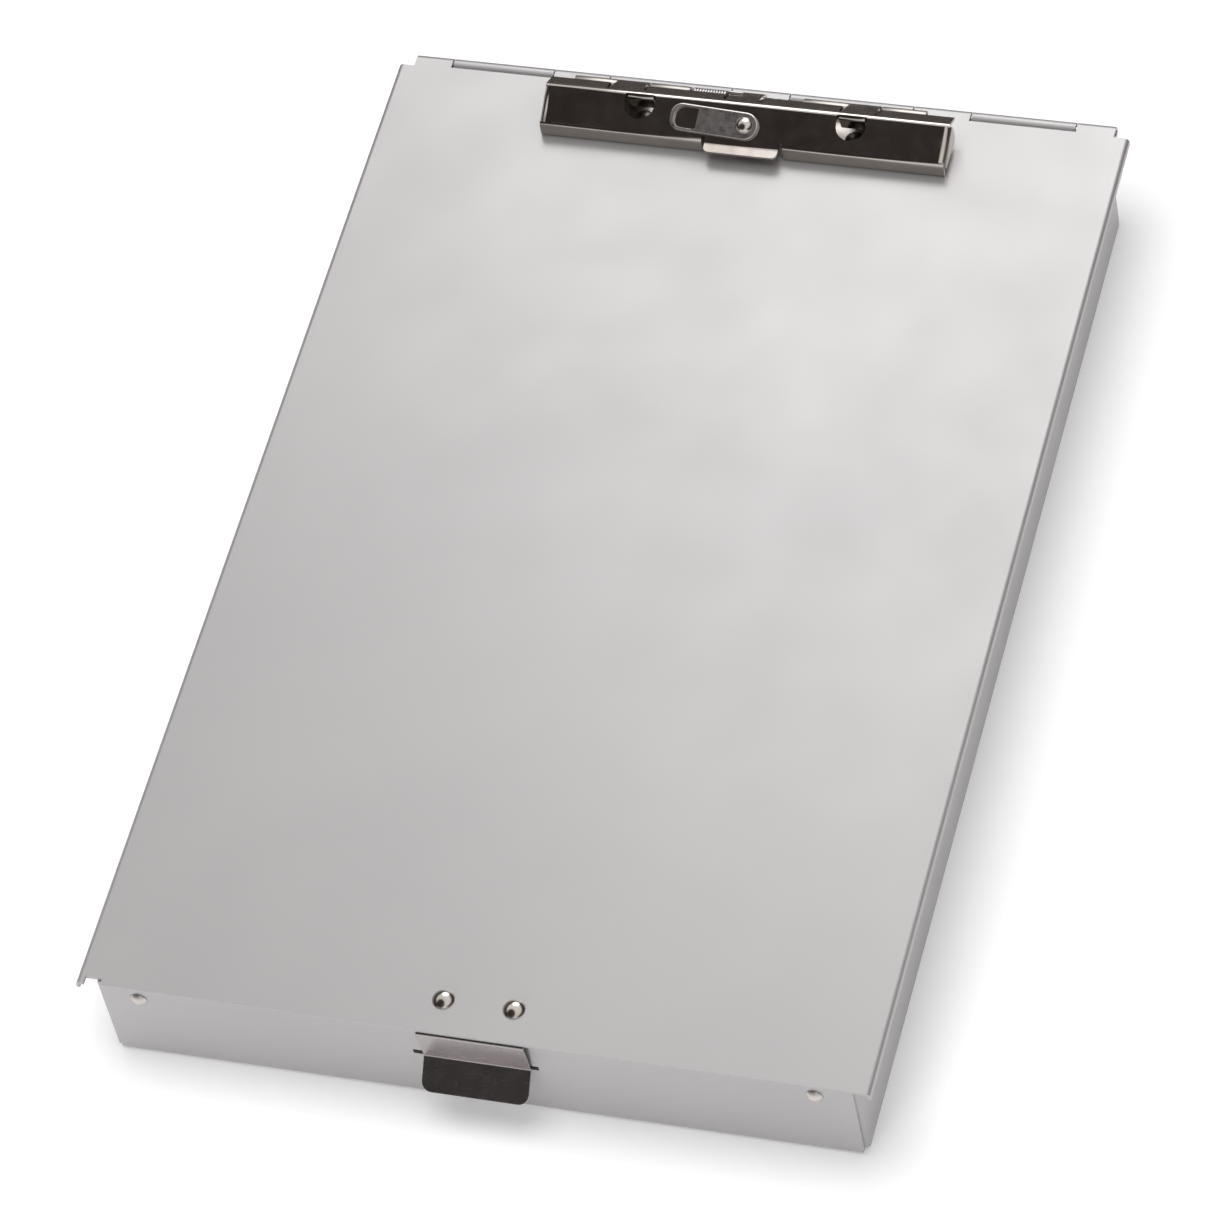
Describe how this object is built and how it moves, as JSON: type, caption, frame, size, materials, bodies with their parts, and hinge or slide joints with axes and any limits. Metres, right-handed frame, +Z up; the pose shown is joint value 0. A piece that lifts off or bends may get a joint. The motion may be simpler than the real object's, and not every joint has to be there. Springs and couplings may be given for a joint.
{
  "type": "storage clipboard",
  "caption": "Sheet-aluminium form holder with a hinged writing lid, a low sprung paper clip with a swing-out hanger, and a front snap latch.",
  "frame": {"origin": "centre of the tray's underside, on the surface that it rests on", "axes": "+X to the right, +Y from the latch towards the lid's hinge, +Z up"},
  "size_m": [0.236, 0.3631, 0.0476],
  "materials": {
    "aluminium_sheet": "satin, fine grain",
    "rivet_steel": "bright nickel plate",
    "pin_steel": "drawn wire",
    "latch_steel": "satin spring steel",
    "plated_steel": "bright nickel plate",
    "spring_wire": "drawn spring wire"
  },
  "bodies": {
    "tray": {"tray_shell": "aluminium_sheet", "front_corner_rivets": "rivet_steel", "rear_corner_rivets": "rivet_steel", "lid_hinge_pin": "pin_steel"},
    "lid": {"lid_panel": "aluminium_sheet", "latch_base": "latch_steel", "latch_rivets": "rivet_steel", "clip_base": "plated_steel", "clip_base_rivets": "rivet_steel", "clip_hinge_pin": "pin_steel", "clip_spring": "spring_wire"},
    "latch": {"latch_tongue": "latch_steel"},
    "clip": {"clip_bar": "plated_steel", "hanger_rivet": "rivet_steel"},
    "hanger": {"hanger_tab": "plated_steel"}
  },
  "joints": [
    {"name": "lid_hinge", "type": "hinge", "parent": "tray", "child": "lid", "pos_m": [0, 0.179, 0.034], "axis": [-1, 0, 0], "range_deg": [0, 180]},
    {"name": "latch_flex", "type": "hinge", "parent": "lid", "child": "latch", "pos_m": [0, -0.1752, 0.03414], "axis": [-1, 0, 0], "range_deg": [0, 12], "stiffness_Nm_per_rad": 1, "springref_deg": -1.15},
    {"name": "clip_hinge", "type": "hinge", "parent": "lid", "child": "clip", "pos_m": [0, 0.1738, 0.0391], "axis": [-1, 0, 0], "range_deg": [0, 90], "stiffness_Nm_per_rad": 0.2, "springref_deg": -57.3, "deforming": ["clip_spring"]},
    {"name": "hanger_pivot", "type": "hinge", "parent": "clip", "child": "hanger", "pos_m": [0.0007, 0.15839, 0.04483], "axis": [0, 0.4412, -0.8974], "range_deg": [0, 177]}
  ]
}
